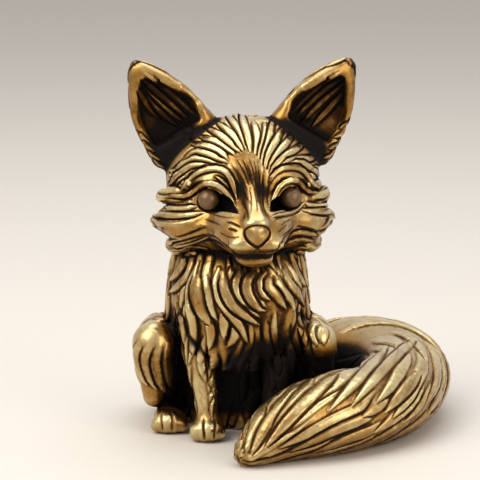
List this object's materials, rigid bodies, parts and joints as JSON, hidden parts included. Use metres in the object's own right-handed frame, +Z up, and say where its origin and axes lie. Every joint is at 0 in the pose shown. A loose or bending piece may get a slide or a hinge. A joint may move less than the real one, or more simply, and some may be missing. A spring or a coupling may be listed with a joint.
{
  "type": "fox figurine",
  "caption": "Small sitting fox in cast brass with dark antiqued fur grooves, upright cupped ears, round eye beads and a thick brush curled round its side.",
  "frame": {"origin": "in the flat underside of the trunk, on the table, below the neck", "axes": "+Z up, the fox faces -Y, its left side is +X"},
  "size_m": [0.0358, 0.0388, 0.0409],
  "materials": {
    "antiqued_brass": "polished high spots, black-brown patina in the grooves",
    "eye_bronze": "smooth brown bronze",
    "dowel_brass": "drawn rod, as turned"
  },
  "bodies": {
    "root": {"trunk": "antiqued_brass", "head": "antiqued_brass", "left_ear": "antiqued_brass", "right_ear": "antiqued_brass", "left_eye": "eye_bronze", "right_eye": "eye_bronze", "left_foreleg": "antiqued_brass", "right_foreleg": "antiqued_brass", "left_hind_leg": "antiqued_brass", "right_hind_leg": "antiqued_brass", "tail": "antiqued_brass", "neck_dowel": "dowel_brass", "tail_dowel": "dowel_brass"}
  },
  "joints": []
}
